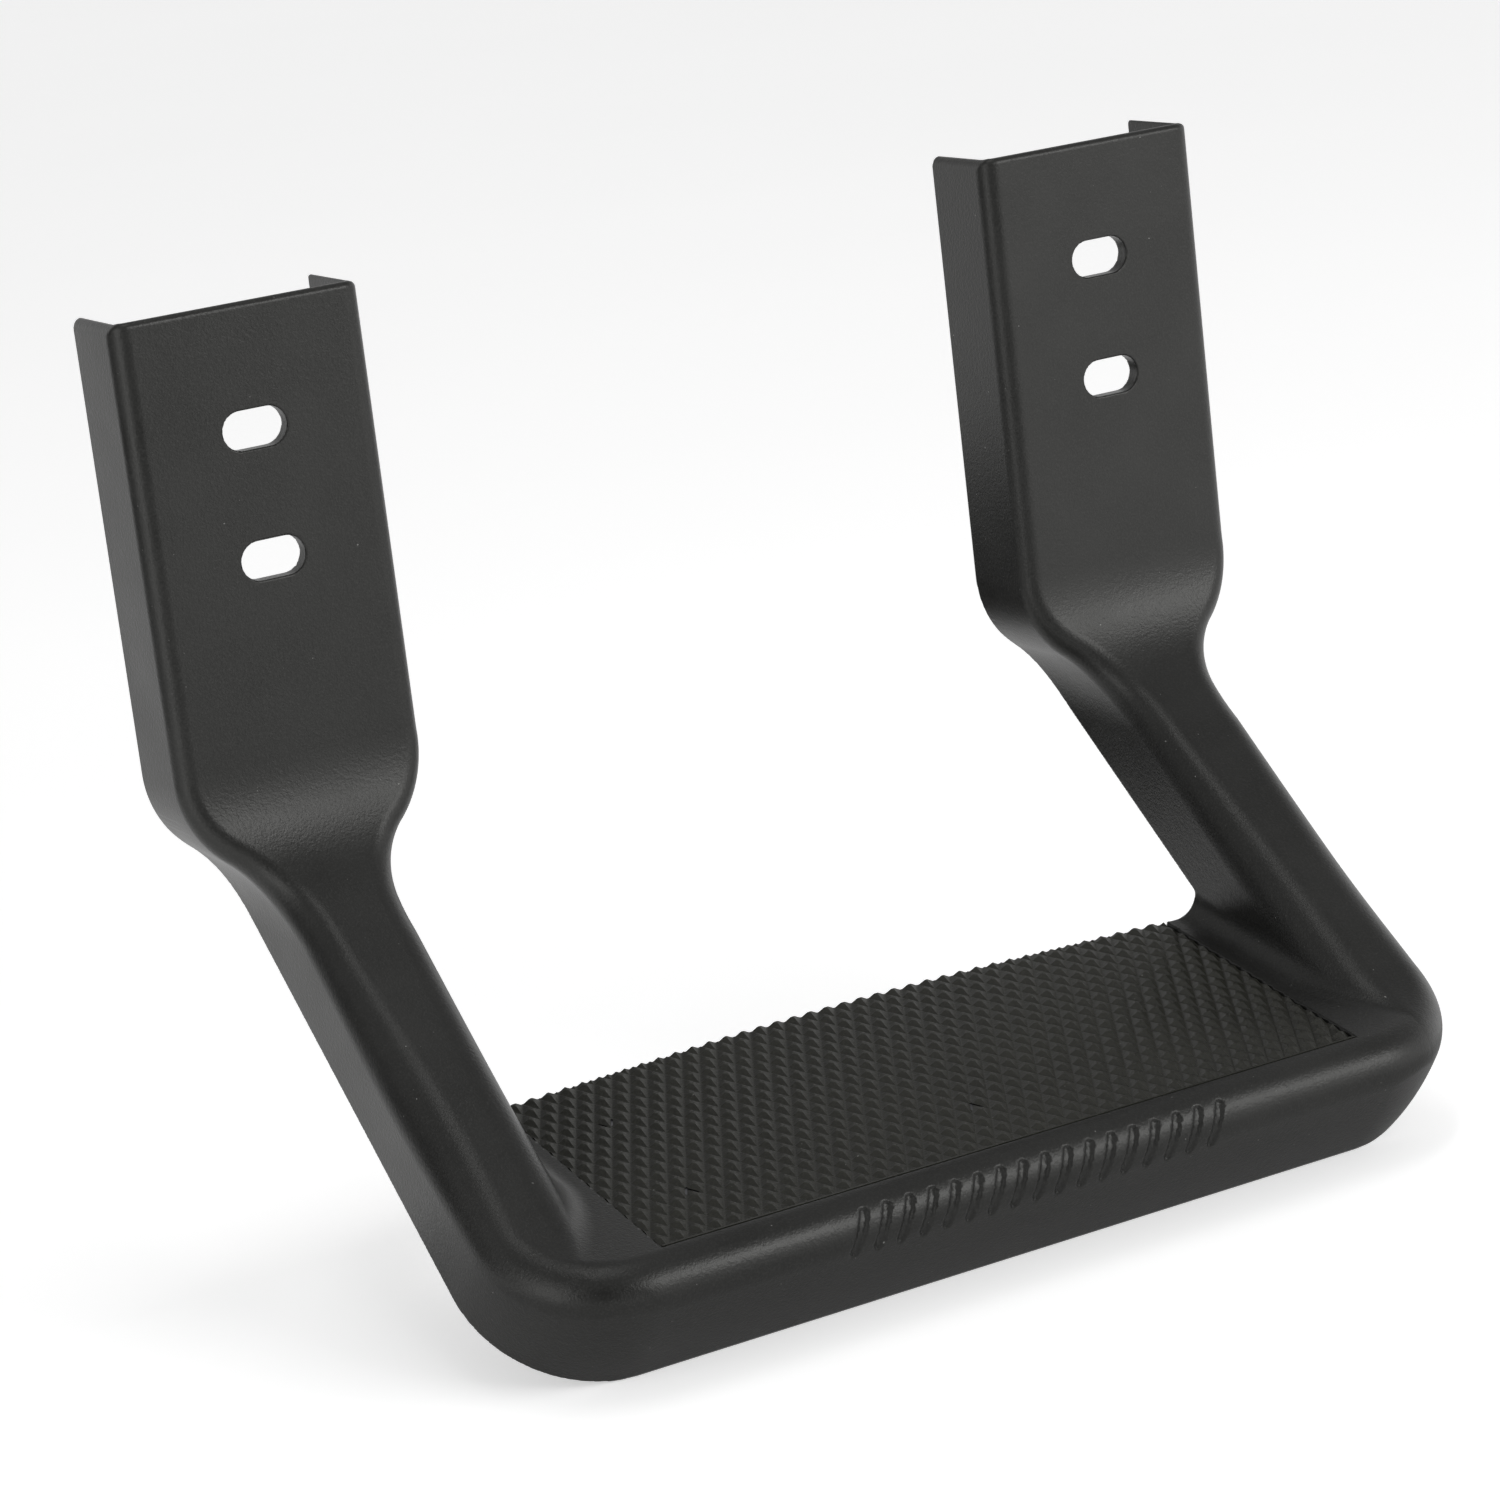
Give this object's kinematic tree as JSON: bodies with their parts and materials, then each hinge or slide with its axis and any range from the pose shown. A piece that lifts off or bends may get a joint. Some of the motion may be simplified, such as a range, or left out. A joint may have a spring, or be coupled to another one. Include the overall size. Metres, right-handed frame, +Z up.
{
  "type": "vehicle step",
  "caption": "Bolt-on truck step: hollow black casting with two slotted upright channels, forward-leaning legs and a wide rail that carries a knurled tread plate.",
  "frame": {"origin": "centre of the four mounting slots, on the back faces of the two mounting channels, which seat against the vehicle bracket", "axes": "+X across the step, -Y out from the vehicle towards the person who steps up, +Z up along the mounting channels"},
  "size_m": [0.367, 0.1822, 0.2967],
  "materials": {
    "casting": "satin black powder coat with a fine grain",
    "tread": "matte black powder coat",
    "screw_steel": "black oxide",
    "washer_steel": "plain zinc"
  },
  "bodies": {
    "root": {"step_frame": "casting", "tread_plate": "tread", "tread_screws": "screw_steel", "tread_washers": "washer_steel"}
  },
  "joints": []
}
